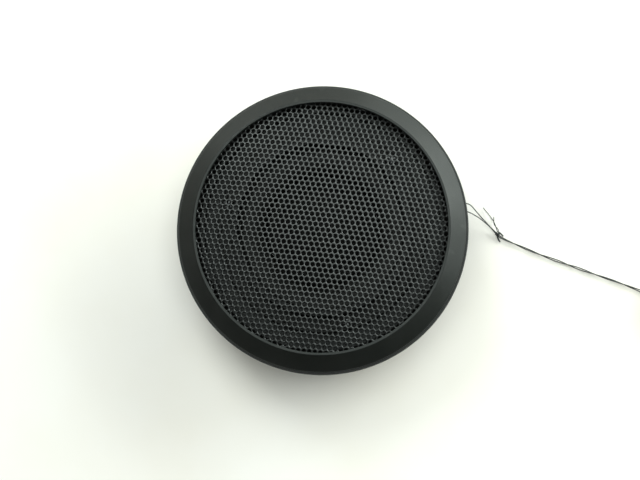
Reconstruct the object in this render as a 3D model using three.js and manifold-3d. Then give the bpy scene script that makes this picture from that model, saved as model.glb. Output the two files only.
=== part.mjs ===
// Car tweeter: a flush-mounted dome tweeter under a domed, perforated grille.
// Millimetres. The origin is the middle of the back face, and +Z points out of the grille.
import * as THREE from "three";
import { mergeVertices } from "three/addons/utils/BufferGeometryUtils.js";
import Module from "manifold-3d";

const wasm = await Module();
wasm.setup();

// Driving dimensions
const gap = 0.3; // between pieces that touch
const around = 60; // sides of a large round piece
const aroundInner = 40; // sides of the round pieces inside
const smallSides = 14; // sides of screws, bosses and holes
const flangeR = 43.5;
const flangeZ = 20; // underside of the flange, which is also the mounting depth
const flangeThick = 2;
const wallR = 36.5; // drops through the panel's round cut-out
const wallThick = 1.8;
const coverThick = 2.4;
const bezelR = 42.8;
const lipR = 37.8; // inner edge of the bezel's lip
const lipZ = 27;
const rebateR = 39.1; // the bezel's bore behind the lip, which holds the grille
const grilleThick = 0.6;
const grilleRimZ = 25.3; // top of the grille's flat rim
const grilleDomeR = 37.6;
const grilleRise = 4.8;
const retainerInner = 36.4;
const sealInner = 24.9; // foam seal between the driver and the grille
const sealOuter = 26.7;
const sealTop = 26.8;
const driverR = 31.2; // faceplate
const baffleBore = 24.6;
const baffleTop = 19.5;
const baffleThick = 2;
const yokeZ = 4.4;
const yokePlateTop = 7.4;
const yokeR = 21;
const poleR = 12;
const magnetR = 22.4;
const magnetBore = 14.6;
const topPlateZ = 13.5;
const topPlateThick = 3;
const topPlateR = 21;
const topPlateBore = 13.7;
const feltR = 10.8;
const domeR = 12.7;
const domeBaseZ = 17.6;
const domeRise = 4.6;
const surroundR = 14.7; // middle of the half roll
const coilInner = 12.75;
const coilOuter = 13.2;
const formerInner = 12.3;
const formerOuter = 12.55;
const coverScrewRing = 30;
const driverScrewRing = 29;
const stakeRing = 41.2; // the bezel's heat-staked pegs
const stakeR = 0.9;
const stakeHeadR = 1.3;
const stakeHeadTall = 0.8;
const coverScrewAngles = [90, 210, 330];
const coverHoleR = 1.5;
const driverScrewAngles = [45, 165, 285];
const driverHoleR = 1.3;
const stakeAngles = [0, 60, 120, 180, 240, 300];
const lugAngles = [75, 195, 315];
const lugWide = 9;
const lugReach = 2.7; // past the wall
const lugLow = 13.7;
const lugHigh = 16;
const gasketInner = 37.2;
const gasketOuter = 39.5;
const gasketThick = 1.4;
const leadAngle = 12; // where the lead leaves the wall
const leadZ = 7.5;
const leadR = 0.5;

// Worked out from them
const flangeTop = flangeZ + flangeThick;
const boreR = wallR - wallThick;
const bodyBottom = coverThick + gap;
const baffleBottom = baffleTop - baffleThick;
const faceplateBottom = baffleTop + gap;
const topPlateTop = topPlateZ + topPlateThick;
const yokeTop = topPlateTop - 0.2;
const surroundZ = domeBaseZ - gap;
const zAxis = new THREE.Vector3(0, 0, 1);

function rad(degrees) {
  return THREE.MathUtils.degToRad(degrees);
}

function polar(radius, degrees, z) {
  return new THREE.Vector3(radius * Math.cos(rad(degrees)), radius * Math.sin(rad(degrees)), z);
}

// Geometry helpers. A profile is a list of [radius, z], anticlockwise with radius to the right.
function spin(profile, sides = around) {
  const points = profile.map(([radius, z]) => new THREE.Vector2(radius, z));
  return new THREE.LatheGeometry(points, sides).rotateX(Math.PI / 2);
}

function closed(profile) {
  return [...profile, profile[0]];
}

function ring(inner, outer, low, high, sides = around) {
  return spin(closed([[inner, low], [outer, low], [outer, high], [inner, high]]), sides);
}

function innerRing(inner, outer, low, high) {
  return ring(inner, outer, low, high, aroundInner);
}

function disc(radius, low, high, sides = around) {
  return spin([[0, low], [radius, low], [radius, high], [0, high]], sides);
}

function arc(centreR, centreZ, radius, fromDegrees, toDegrees, steps) {
  const points = [];
  for (let i = 0; i <= steps; i += 1) {
    const angle = rad(THREE.MathUtils.lerp(fromDegrees, toDegrees, i / steps));
    points.push([centreR + radius * Math.cos(angle), centreZ + radius * Math.sin(angle)]);
  }
  return points;
}

// Points of a spherical cap's section from its rim to its top.
function cap(rimR, rimZ, rise, steps) {
  const radius = (rimR * rimR + rise * rise) / (2 * rise);
  const half = THREE.MathUtils.radToDeg(Math.asin(rimR / radius));
  const points = arc(0, rimZ + rise - radius, radius, 90 - half, 90, steps);
  points[0] = [rimR, rimZ];
  points[steps] = [0, rimZ + rise];
  return points;
}

function solidOf(geometry) {
  const bare = geometry.clone();
  bare.deleteAttribute("normal");
  bare.deleteAttribute("uv");
  const merged = mergeVertices(bare);
  const corners = [];
  for (let i = 0; i < merged.index.count; i += 3) {
    const [a, b, c] = [0, 1, 2].map((k) => merged.index.getX(i + k));
    if (a !== b && b !== c && c !== a) {
      corners.push(a, b, c);
    }
  }
  const vertProperties = new Float32Array(merged.attributes.position.array);
  const triVerts = new Uint32Array(corners);
  return new wasm.Manifold(new wasm.Mesh({ numProp: 3, vertProperties, triVerts }));
}

function geometryOf(solid) {
  const mesh = solid.getMesh();
  const geometry = new THREE.BufferGeometry();
  geometry.setAttribute("position", new THREE.BufferAttribute(mesh.vertProperties, 3));
  geometry.setIndex(new THREE.BufferAttribute(mesh.triVerts, 1));
  return geometry;
}

function shaped(base, added, removed) {
  let solid = solidOf(base);
  for (const geometry of added) {
    solid = solid.add(solidOf(geometry));
  }
  for (const geometry of removed) {
    solid = solid.subtract(solidOf(geometry));
  }
  return geometryOf(solid);
}

function peg(radius, low, high, place, sides = smallSides) {
  return disc(radius, low, high, sides).translate(place.x, place.y, 0);
}

function block(long, wide, tall) {
  return new THREE.BoxGeometry(long, wide, tall);
}

// A block given by its span along the radius, its width across it and its height, turned to an angle.
function radialBlock(inner, outer, wide, low, high, degrees) {
  return block(outer - inner, wide, high - low)
    .translate((inner + outer) / 2, 0, (low + high) / 2)
    .rotateZ(rad(degrees));
}

function tube(points, radius, steps, sides = 8) {
  const section = new THREE.Shape();
  section.setFromPoints(
    Array.from({ length: sides }, (_, i) => {
      const angle = (2 * Math.PI * i) / sides;
      return new THREE.Vector2(radius * Math.cos(angle), radius * Math.sin(angle));
    }),
  );
  const path = new THREE.CatmullRomCurve3(points, false, "centripetal");
  return new THREE.ExtrudeGeometry(section, { steps, bevelEnabled: false, extrudePath: path });
}

// Finishes: [colour, roughness, metalness]
const finishes = {
  blackPlastic: [0x2b2d2c, 0.6, 0],
  blackMesh: [0x1d1f20, 0.45, 0.6],
  foam: [0x1a1a1b, 0.95, 0],
  steel: [0xa9acad, 0.35, 0.9],
  blackSteel: [0x2a2a2c, 0.4, 0.8],
  ferrite: [0x3a3a3c, 0.8, 0.1],
  felt: [0x8a8478, 1, 0],
  silk: [0x1f2022, 0.6, 0],
  copper: [0xb8703c, 0.35, 0.9],
  paper: [0x9a6b42, 0.7, 0],
  fibreBoard: [0x7a4a26, 0.7, 0],
  brass: [0xc9a95a, 0.3, 0.9],
  capacitor: [0x23313f, 0.5, 0],
  rubber: [0x18191a, 0.8, 0],
  wireRed: [0x8c2b26, 0.6, 0],
  wireBlack: [0x1c1c1e, 0.6, 0],
  connector: [0xd8d6cc, 0.5, 0],
};

const tweeter = new THREE.Group();
tweeter.name = "car_tweeter";

function addPart(name, geometry, finish, into = tweeter) {
  const [color, roughness, metalness] = finishes[finish];
  const mesh = new THREE.Mesh(geometry, new THREE.MeshStandardMaterial({ color, roughness, metalness }));
  mesh.name = name;
  into.add(mesh);
  return mesh;
}

// Back cover: a flat plate with a spigot, a shallow round recess and three countersunk screw seats
function backCover() {
  const recessR = 20;
  const recessDepth = 0.5;
  const edge = 0.5;
  const spigotTall = 1.3;
  const spigotThick = 1.2;
  const screwSeatR = 3;
  const screwSeatDepth = 1.6;
  const rim = wallR - 0.2;
  const plate = spin([
    [0, recessDepth],
    [recessR - edge, recessDepth],
    [recessR, 0],
    [rim - edge, 0],
    [rim, edge],
    [rim, coverThick],
    [boreR - gap, coverThick],
    [boreR - gap, coverThick + spigotTall],
    [boreR - gap - spigotThick, coverThick + spigotTall],
    [boreR - gap - spigotThick, coverThick],
    [0, coverThick],
  ]);
  const seats = coverScrewAngles.map((a) =>
    peg(screwSeatR, -1, screwSeatDepth, polar(coverScrewRing, a, 0)),
  );
  const holes = coverScrewAngles.map((a) =>
    peg(coverHoleR, 0, coverThick + 1, polar(coverScrewRing, a, 0)),
  );
  return shaped(plate, [], [...seats, ...holes]);
}

// A pan-head screw standing on its head: the head's free face is at low, and the tip is at high.
function screw(headR, headTall, shankR, low, high) {
  const driveDepth = 0.45;
  const edge = 0.4;
  const point = 0.8;
  return spin(
    [
      [0, low + driveDepth],
      [headR * 0.35, low + driveDepth],
      [headR * 0.45, low],
      [headR - edge, low],
      [headR, low + edge],
      [headR, low + headTall],
      [shankR, low + headTall],
      [shankR, high - point],
      [0, high],
    ],
    smallSides,
  );
}

// Mounting frame: wall, flange and driver baffle in one moulding, with bosses, lugs and holes
function mountingFrame() {
  const wellR = 35.2;
  const edge = 0.3;
  const coverBossR = 2.8;
  const driverBossR = 2.6;
  const driverBossLow = 13.5;
  const intoBaffle = baffleBottom + 0.5;
  const coverHoleTop = 10.5;
  const driverHoleLow = driverBossLow + 0.8;
  const leadHoleR = 2.5;
  const body = spin(
    closed([
      [boreR, bodyBottom],
      [wallR, bodyBottom],
      [wallR, flangeZ],
      [flangeR - edge, flangeZ],
      [flangeR, flangeZ + edge],
      [flangeR, flangeTop - edge],
      [flangeR - edge, flangeTop],
      [wellR, flangeTop],
      [wellR, baffleTop],
      [baffleBore, baffleTop],
      [baffleBore, baffleBottom],
      [boreR, baffleBottom],
    ]),
  );
  const coverBosses = coverScrewAngles.map((a) =>
    peg(coverBossR, bodyBottom, intoBaffle, polar(coverScrewRing, a, 0)),
  );
  const driverBosses = driverScrewAngles.map((a) =>
    peg(driverBossR, driverBossLow, intoBaffle, polar(driverScrewRing, a, 0)),
  );
  const lugs = lugAngles.map((a) =>
    radialBlock(wallR - 0.8, wallR + lugReach, lugWide, lugLow, lugHigh, a),
  );
  const coverHoles = coverScrewAngles.map((a) =>
    peg(coverHoleR, 0, coverHoleTop, polar(coverScrewRing, a, 0)),
  );
  const driverHoles = driverScrewAngles.map((a) =>
    peg(driverHoleR, driverHoleLow, flangeTop + 3, polar(driverScrewRing, a, 0)),
  );
  const stakeHoles = stakeAngles.map((a) =>
    peg(stakeR + gap, flangeZ - 1, flangeTop + 1, polar(stakeRing, a, 0)),
  );
  const leadHole = new THREE.CylinderGeometry(leadHoleR, leadHoleR, 6, 24)
    .rotateZ(Math.PI / 2)
    .translate(wallR - wallThick / 2, 0, leadZ)
    .rotateZ(rad(leadAngle));
  return shaped(
    body,
    [...coverBosses, ...driverBosses, ...lugs],
    [...coverHoles, ...driverHoles, ...stakeHoles, leadHole],
  );
}

// Bezel: a conical ring with a rounded lip, held by heat-staked pegs through the flange
function bezelRing() {
  const low = flangeTop + gap;
  const body = spin(
    closed([
      [rebateR, low],
      [bezelR - 0.3, low],
      [bezelR, low + 0.3],
      [bezelR, low + 0.7],
      [bezelR - 0.2, low + 0.95],
      [lipR + 0.75, lipZ - 0.12],
      [lipR + 0.45, lipZ],
      [lipR + 0.2, lipZ - 0.05],
      [lipR + 0.04, lipZ - 0.22],
      [lipR, lipZ - 0.5],
      [lipR, grilleRimZ + gap],
      [rebateR, grilleRimZ + gap],
    ]),
  );
  const sides = 12;
  const headTop = flangeZ - gap;
  const headLow = headTop - stakeHeadTall;
  const pegs = stakeAngles.map((a) => peg(stakeR, headLow, low + 0.5, polar(stakeRing, a, 0), sides));
  const heads = stakeAngles.map((a) => peg(stakeHeadR, headLow, headTop, polar(stakeRing, a, 0), sides));
  return shaped(body, [...pegs, ...heads], []);
}

function grille() {
  const outer = rebateR - gap;
  const upper = cap(grilleDomeR, grilleRimZ, grilleRise, 7);
  const lower = upper.map(([radius, z]) => [radius, z - grilleThick]).reverse();
  return spin([...lower, [outer, grilleRimZ - grilleThick], [outer, grilleRimZ], ...upper]);
}

// Driver faceplate: a flat rim on the baffle, a horn mouth and a collar that sits over the top plate
const clampR = 18.6;
const collarR = 23.5;
const mouthR = 24;
const throatR = 16.6;
const throatZ = 18.4;
const faceplateThick = 1.8;
const faceplateTop = faceplateBottom + faceplateThick;

function driverFaceplate() {
  const collarBottom = topPlateTop + gap;
  const clampTall = 0.8;
  const leadSlotWide = 9;
  const leadSlotTall = 1.3;
  const horn = [];
  const hornSteps = 5;
  for (let i = 0; i <= hornSteps; i += 1) {
    const t = i / hornSteps;
    horn.push([
      THREE.MathUtils.lerp(mouthR, throatR, Math.sin((t * Math.PI) / 2)),
      THREE.MathUtils.lerp(faceplateTop, throatZ, 1 - Math.cos((t * Math.PI) / 2)),
    ]);
  }
  const body = spin(
    closed([
      [throatR, collarBottom + clampTall],
      [clampR, collarBottom + clampTall],
      [clampR, collarBottom],
      [collarR, collarBottom],
      [collarR, faceplateBottom],
      [driverR, faceplateBottom],
      [driverR, faceplateTop - 0.3],
      [driverR - 0.3, faceplateTop],
      ...horn,
    ]),
    48,
  );
  const holes = driverScrewAngles.map((a) =>
    peg(driverHoleR, baffleTop - 0.5, faceplateTop + 1.4, polar(driverScrewRing, a, 0)),
  );
  const leadSlot = radialBlock(
    throatR - 1,
    collarR + 1,
    leadSlotWide,
    collarBottom - 1,
    collarBottom + leadSlotTall,
    leadAngle,
  );
  return shaped(body, [], [...holes, leadSlot]);
}

// Moving diaphragm: dome, surround, former and winding
function dome() {
  const shell = 0.35;
  const outer = cap(domeR, domeBaseZ, domeRise, 6);
  const inner = cap(domeR - shell, domeBaseZ, domeRise - shell, 6).reverse();
  return spin([...inner, ...outer], aroundInner);
}

function surround() {
  const rollR = 1.75;
  const thick = 0.3;
  const outerRoll = arc(surroundR, surroundZ, rollR, 0, 180, 5);
  const innerRoll = arc(surroundR, surroundZ, rollR - thick, 180, 0, 5);
  return spin(closed([...outerRoll, ...innerRoll]), aroundInner);
}

// Terminals and inner wiring
const boardInner = 25;
const boardOuter = 33.4;
const boardWide = 12;
const boardThick = 1.6;
const boardTop = baffleBottom - gap;
const boardBottom = boardTop - boardThick;
const tagApart = 3.2; // each tag from the board's middle line

// An angled tag under the board: a strip along the radius with its outer end bent down.
function terminalTag(side) {
  const tagThick = 0.8;
  const tagWide = 2.8;
  const tagTop = boardBottom - gap;
  const tagEnd = 32.3;
  const tabDrop = 3;
  const tag = new THREE.Shape();
  tag.moveTo(boardInner, tagTop - tagThick);
  tag.lineTo(tagEnd - tagThick, tagTop - tagThick);
  tag.lineTo(tagEnd - tagThick, tagTop - tagThick - tabDrop);
  tag.lineTo(tagEnd, tagTop - tagThick - tabDrop);
  tag.lineTo(tagEnd, tagTop);
  tag.lineTo(boardInner, tagTop);
  tag.closePath();
  return new THREE.ExtrudeGeometry(tag, { depth: tagWide, bevelEnabled: false })
    .rotateX(Math.PI / 2)
    .translate(0, side * tagApart + tagWide / 2, 0)
    .rotateZ(rad(leadAngle));
}

const tinselR = 0.3;

function tinselLead(side) {
  const route = [
    [17, side * 2.4, 17.5],
    [20.5, side * 2.5, 17.4],
    [23.2, side * 2.8, 16.3],
    [24.2, side * 3.1, 15.4],
    [24.7, side * tagApart, 14.95],
  ].map(([x, y, z]) => new THREE.Vector3(x, y, z).applyAxisAngle(zAxis, rad(leadAngle)));
  return tube(route, tinselR, 10);
}

const capacitorR = 4;
const capacitorLong = 13;
const capacitorAngle = -58;
const capacitorRing = 28.6;
const capacitorZ = 7.6;

function capacitor() {
  const half = capacitorLong / 2;
  const edge = 0.6;
  return spin(
    [
      [0, -half],
      [capacitorR - edge, -half],
      [capacitorR, -half + edge],
      [capacitorR, half - edge],
      [capacitorR - edge, half],
      [0, half],
    ],
    20,
  )
    .rotateX(Math.PI / 2)
    .translate(capacitorRing, 0, capacitorZ)
    .rotateZ(rad(capacitorAngle));
}

// A place beside the capacitor, counted along its length from its middle.
function besideCapacitor(along, outward, z) {
  return new THREE.Vector3(capacitorRing + outward, along, z).applyAxisAngle(zAxis, rad(capacitorAngle));
}

function innerWires() {
  const end = capacitorLong / 2 + gap;
  return {
    capacitor_wire_out: [
      besideCapacitor(end, 0, capacitorZ),
      besideCapacitor(end + 2, -0.6, capacitorZ),
      polar(25, -30, 9),
      polar(25.2, -12, 10),
      polar(28.5, 2, 10.3),
      polar(31.9, 6, 10.8),
    ],
    capacitor_wire_in: [
      besideCapacitor(-end, 0, capacitorZ),
      besideCapacitor(-end - 1.6, 0.6, capacitorZ - 1.2),
      besideCapacitor(-end - 1.2, 3.6, 5.6),
      polar(33.7, -68, 5.3),
      polar(33.8, -52, 5.3),
      polar(33.8, -38, 5.3),
      polar(33.8, -20, 5.4),
      polar(33.4, -4, 5.8),
      polar(32.8, 7, 6.5),
      polar(33, leadAngle - 1.2, leadZ - 0.2),
    ],
    minus_wire: [
      polar(33, leadAngle + 1.6, leadZ + 0.3),
      polar(31.5, 15.5, 7.6),
      polar(31.2, 18, 9.4),
      polar(31.9, 18, 10.8),
    ],
  };
}

// Lead: grommet, lead and connector
function leadGrommet() {
  const inside = boreR - 1.1;
  const outside = wallR + 1.2;
  const bore = 1;
  const collar = 3.2;
  const neck = 2.2;
  const coneWide = 3;
  const coneNarrow = 1.9;
  return spin(
    closed([
      [bore, inside],
      [collar, inside],
      [collar, boreR - gap],
      [neck, boreR - gap],
      [neck, wallR + gap],
      [coneWide, wallR + gap],
      [coneNarrow, outside],
      [bore, outside],
    ]),
    18,
  )
    .rotateY(Math.PI / 2)
    .translate(0, 0, leadZ)
    .rotateZ(rad(leadAngle));
}

// The lead's middle line, from the grommet to the connector, lying on the surface after its first bend.
const leadRoute = [
  [37.5, 8, 7.5],
  [39.5, 8.4, 7.5],
  [41.6, 8.7, 7.35],
  [43.6, 8.5, 6.8],
  [45.7, 7.2, 5.4],
  [47.8, 5.6, 3.8],
  [50, 3.75, 2.2],
  [51.6, 2.25, 1.15],
  [53.6, 0.35, 0.6],
  [58.6, -2.1, 0.6],
  [66, -5.3, 0.6],
  [74.2, -8.4, 0.6],
  [82, -11.3, 0.6],
  [90, -14.2, 0.6],
  [96, -16.6, 0.6],
  [99.4, -17.9, 1.4],
  [102.5, -19.1, 2.4],
];
const connectorLong = 13;
const connectorWide = 8;
const connectorTall = 5;
const cavityWide = 2.2;
const contactApart = 2; // each contact from the connector's middle
const contactZ = 2.5;

function placeConnector(geometry) {
  const [before, last] = leadRoute.slice(-2);
  const turn = Math.atan2(last[1] - before[1], last[0] - before[0]);
  return geometry.rotateZ(turn).translate(last[0], last[1], 0);
}

function leadConnector() {
  const middle = gap + connectorLong / 2;
  const body = block(connectorLong, connectorWide, connectorTall).translate(middle, 0, connectorTall / 2);
  const latch = block(6, 2.6, 1).translate(gap + 4.4, 0, connectorTall + 0.3);
  const cavities = [-contactApart, contactApart].map((y) =>
    block(7, cavityWide, cavityWide).translate(gap + connectorLong - 2, y, contactZ),
  );
  return placeConnector(shaped(body, [latch], cavities));
}

function contactBlade(side) {
  const [long, wide, thick] = [4.6, 1.2, 0.7];
  const blade = block(long, wide, thick);
  return placeConnector(blade.translate(gap + connectorLong - 3, side * contactApart, contactZ));
}

// Assembly
addPart("back_cover", backCover(), "blackPlastic");
coverScrewAngles.forEach((a, i) => {
  const coverScrew = screw(2.6, 1.1, 1.2, 0.2, 9.5);
  addPart(`cover_screw_${i + 1}`, coverScrew, "blackSteel").position.copy(polar(coverScrewRing, a, 0));
});
addPart("mounting_frame", mountingFrame(), "blackPlastic");
const gasketTop = flangeZ - gap;
addPart("panel_gasket", ring(gasketInner, gasketOuter, gasketTop - gasketThick, gasketTop), "foam");
addPart("bezel_ring", bezelRing(), "blackPlastic");
addPart("grille", grille(), "blackMesh");
const retainerTop = grilleRimZ - grilleThick - gap;
addPart(
  "grille_retainer",
  ring(retainerInner, rebateR - gap, flangeTop + gap, retainerTop),
  "blackPlastic",
);
addPart("grille_seal", innerRing(sealInner, sealOuter, faceplateTop + gap, sealTop), "foam");

addPart("driver_faceplate", driverFaceplate(), "blackPlastic");
const driverHeadTall = 1.3;
driverScrewAngles.forEach((a, i) => {
  const driverScrew = screw(1.8, driverHeadTall, 1, 0, 8.2);
  const mesh = addPart(`driver_screw_${i + 1}`, driverScrew, "blackSteel");
  mesh.position.copy(polar(driverScrewRing, a, faceplateTop + gap + driverHeadTall));
  mesh.rotation.x = Math.PI;
});
const yokeSection = [
  [0, yokeZ],
  [yokeR - 0.5, yokeZ],
  [yokeR, yokeZ + 0.5],
  [yokeR, yokePlateTop],
  [poleR, yokePlateTop],
  [poleR, yokeTop],
  [0, yokeTop],
];
addPart("yoke", spin(yokeSection, aroundInner), "steel");
addPart("magnet", innerRing(magnetBore, magnetR, yokePlateTop + gap, topPlateZ - gap), "ferrite");
addPart("top_plate", innerRing(topPlateBore, topPlateR, topPlateZ, topPlateTop), "steel");
const feltThick = 1.2;
const feltLow = yokeTop + gap;
addPart("damping_felt", disc(feltR, feltLow, feltLow + feltThick, aroundInner), "felt");
const clampRingLow = topPlateTop + gap;
const clampRingThick = 0.35;
addPart(
  "surround_ring",
  innerRing(throatR + 0.15, clampR - gap, clampRingLow, clampRingLow + clampRingThick),
  "paper",
);

const diaphragm = new THREE.Group();
tweeter.add(diaphragm);
addPart("dome", dome(), "silk", diaphragm);
addPart("surround", surround(), "silk", diaphragm);
addPart("coil_former", innerRing(formerInner, formerOuter, 12.9, surroundZ), "paper", diaphragm);
addPart("voice_coil", innerRing(coilInner, coilOuter, 13.1, 16.9), "copper", diaphragm);

addPart(
  "terminal_board",
  radialBlock(boardInner, boardOuter, boardWide, boardBottom, boardTop, leadAngle),
  "fibreBoard",
);
addPart("terminal_plus", terminalTag(-1), "brass");
addPart("terminal_minus", terminalTag(1), "brass");
addPart("tinsel_lead_plus", tinselLead(-1), "copper");
addPart("tinsel_lead_minus", tinselLead(1), "copper");
addPart("capacitor", capacitor(), "capacitor");
const innerWireR = 0.45;
for (const [name, route] of Object.entries(innerWires())) {
  const finish = name === "minus_wire" ? "wireBlack" : "wireRed";
  addPart(name, tube(route, innerWireR, 18), finish);
}

addPart("lead_grommet", leadGrommet(), "rubber");
const leadPoints = leadRoute.map((p) => new THREE.Vector3(...p));
addPart("flying_lead", tube(leadPoints, leadR, 32), "wireBlack");
addPart("lead_connector", leadConnector(), "connector");
addPart("contact_plus", contactBlade(-1), "brass");
addPart("contact_minus", contactBlade(1), "brass");

export default tweeter;
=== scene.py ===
import math

import bmesh
import bpy
from mathutils import Matrix, Vector
from mathutils.geometry import delaunay_2d_cdt


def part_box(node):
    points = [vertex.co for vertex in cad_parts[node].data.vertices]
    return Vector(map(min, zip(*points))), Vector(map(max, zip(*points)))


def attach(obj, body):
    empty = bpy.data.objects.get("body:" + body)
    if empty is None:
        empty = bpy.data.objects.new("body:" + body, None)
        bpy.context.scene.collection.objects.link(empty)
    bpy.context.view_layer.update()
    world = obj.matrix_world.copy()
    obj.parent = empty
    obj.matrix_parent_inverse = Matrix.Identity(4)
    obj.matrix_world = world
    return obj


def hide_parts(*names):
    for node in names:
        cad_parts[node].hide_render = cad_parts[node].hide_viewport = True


# Car tweeter lying on its back on a pale floor.
# Sizes in the dictionaries are millimetres, and meshes turn them into metres.
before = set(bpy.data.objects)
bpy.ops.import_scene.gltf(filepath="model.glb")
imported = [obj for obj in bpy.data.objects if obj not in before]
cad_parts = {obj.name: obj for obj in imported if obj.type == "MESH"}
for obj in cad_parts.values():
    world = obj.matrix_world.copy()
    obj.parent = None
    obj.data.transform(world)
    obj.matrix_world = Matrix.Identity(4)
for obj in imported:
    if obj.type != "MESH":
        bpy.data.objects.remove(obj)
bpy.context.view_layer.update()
mm = 0.001
print("frame loaded with", len(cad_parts), "nodes")


def span(node):
    low, high = (Vector(corner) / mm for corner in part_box(node))
    return {"bottom": low.z, "top": high.z, "radius": (high.y - low.y) / 2}


def polar(radius, degrees, z=0.0):
    angle = math.radians(degrees)
    return Vector((radius * math.cos(angle), radius * math.sin(angle), z))


frameSpan = span("mounting_frame")
coverSpan = span("back_cover")
bezelSpan = span("bezel_ring")
grilleSpan = span("grille")
plateSpan = span("driver_faceplate")
flangeTop = frameSpan["top"]
wallRadius = coverSpan["radius"] + 0.2


# camera: nearly straight above, leaning a little towards the near and right sides
cameraSetup = {
    "aim": Vector((-0.7, -3.2, 21.0)),
    "distance": 600.0,
    "leanNear": 8.5,
    "leanRight": 3.0,
    "lens": 113.3,
    "sensor": 36,
    "clip": (0.01, 20),
}


def makeCamera(setup):
    data = bpy.data.cameras.new("camera")
    data.lens = setup["lens"]
    data.sensor_width = setup["sensor"]
    data.clip_start, data.clip_end = setup["clip"]
    camera = bpy.data.objects.new("camera", data)
    bpy.context.scene.collection.objects.link(camera)
    sideways, nearer = (math.tan(math.radians(setup[way])) for way in ("leanRight", "leanNear"))
    lean = Vector((sideways, -nearer, 1)).normalized()
    right = Vector((0, 1, 0)).cross(lean).normalized()
    up = lean.cross(right)
    turned = Matrix((right, up, lean)).transposed().to_4x4()
    camera.matrix_world = Matrix.Translation((setup["aim"] + lean * setup["distance"]) * mm) @ turned
    bpy.context.scene.camera = camera


makeCamera(cameraSetup)
print("camera made")


# mesh helpers


def show(name, data):
    piece = bpy.data.objects.new(name, data)
    bpy.context.scene.collection.objects.link(piece)
    return piece


def shade(mesh, angle=32):
    # edges that turn more than this stay sharp
    mesh.shade_smooth()
    mesh.set_sharp_from_angle(angle=math.radians(angle))


def meshPiece(name, points, faces, angle=32):
    mesh = bpy.data.meshes.new(name)
    mesh.from_pydata([Vector(p) * mm for p in points], [], faces)
    mesh.update()
    shade(mesh, angle)
    return show(name, mesh)


# a corner is (radius, z) or (radius, z, fillet); the path is anticlockwise with radius to the right
def outline(corners, closed=True, steps=4):
    points = []
    count = len(corners)
    for i, corner in enumerate(corners):
        here = Vector(corner[:2])
        fillet = corner[2] if len(corner) > 2 else 0
        if not fillet or (not closed and i in (0, count - 1)):
            points.append(here)
            continue
        before = Vector(corners[i - 1][:2]) - here
        after = Vector(corners[(i + 1) % count][:2]) - here
        reach = fillet / math.tan(before.angle(after) / 2)
        reach = min(reach, 0.48 * before.length, 0.48 * after.length)
        start = here + before.normalized() * reach
        end = here + after.normalized() * reach
        for k in range(steps + 1):
            t = k / steps
            points.append(start * (1 - t) ** 2 + here * (2 * t * (1 - t)) + end * t**2)
    return supported(points, closed)


def supported(points, closed, edge=0.5, longest=2.5):
    # rings close to each end of a long straight run keep the edge wear at the edges
    finished = []
    for i, here in enumerate(points):
        finished.append(here)
        if i == len(points) - 1 and not closed:
            break
        run = points[(i + 1) % len(points)] - here
        if run.length > 4 * edge:
            inner = run.length - 2 * edge
            count = math.ceil(inner / longest)
            along = [edge + inner * k / count for k in range(count + 1)]
            finished += [here + run * (step / run.length) for step in along]
    return finished


def spun(points, sides=192, closed=True):
    verts, rows, faces = [], [], []
    for point in points:
        if point[0] < 1e-6:
            rows.append([len(verts)] * sides)
            verts.append(Vector((0, 0, point[1])))
            continue
        rows.append([len(verts) + k for k in range(sides)])
        for k in range(sides):
            angle = 2 * math.pi * k / sides
            verts.append(Vector((point[0] * math.cos(angle), point[0] * math.sin(angle), point[1])))
    pairs = list(zip(rows, rows[1:]))
    if closed:
        pairs.append((rows[-1], rows[0]))
    for low, high in pairs:
        for k in range(sides):
            n = (k + 1) % sides
            face = [low[k], low[n], high[n], high[k]]
            face = [v for i, v in enumerate(face) if v != face[i - 1]]
            if len(face) > 2:
                faces.append(face)
    return verts, faces


def spin(name, corners, sides=192, closed=True, steps=4):
    return meshPiece(name, *spun(outline(corners, closed, steps), sides, closed))


def ring(name, inner, outer, low, high, fillet=0.15, sides=192):
    corners = [(inner, low), (outer, low), (outer, high), (inner, high)]
    return spin(name, [(r, z, fillet) for r, z in corners], sides)


def rod(name, radius, low, high, at=(0, 0), sides=32, fillet=0.0):
    corners = [(0, low), (radius, low, fillet), (radius, high, fillet), (0, high)]
    return moved(spin(name, corners, sides, closed=False), Matrix.Translation((at[0], at[1], 0)))


def block(name, low, high, bevel=0.0, turn=0.0):
    verts = [(x, y, z) for x in (low[0], high[0]) for y in (low[1], high[1]) for z in (low[2], high[2])]
    faces = [(0, 1, 3, 2), (4, 6, 7, 5), (0, 4, 5, 1), (2, 3, 7, 6), (0, 2, 6, 4), (1, 5, 7, 3)]
    piece = meshPiece(name, verts, faces)
    if bevel:
        soften(piece, bevel)
    return moved(piece, about(turn))


def about(degrees, axis="Z"):
    return Matrix.Rotation(math.radians(degrees), 4, axis)


def moved(piece, matrix):
    shift = matrix.copy()
    shift.translation = matrix.translation * mm
    piece.data.transform(shift)
    return piece


def applyModifiers(piece):
    graph = bpy.context.evaluated_depsgraph_get()
    done = bpy.data.meshes.new_from_object(piece.evaluated_get(graph))
    piece.modifiers.clear()
    old, piece.data = piece.data, done
    name = old.name
    bpy.data.meshes.remove(old)
    done.name = name
    shade(done)
    return piece


def soften(piece, width):
    bevel = piece.modifiers.new("soften", "BEVEL")
    bevel.width = width * mm
    bevel.segments = 3
    bevel.limit_method = "ANGLE"
    bevel.angle_limit = math.radians(40)
    return applyModifiers(piece)


def combine(piece, others, operation):
    for other in others:
        step = piece.modifiers.new(other.name, "BOOLEAN")
        step.object = other
        step.operation = operation
        step.solver = "EXACT"
    applyModifiers(piece)
    for other in others:
        bpy.data.objects.remove(other)
    return piece


def addTo(piece, others):
    return combine(piece, others, "UNION")


def cutFrom(piece, others):
    return combine(piece, others, "DIFFERENCE")


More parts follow.
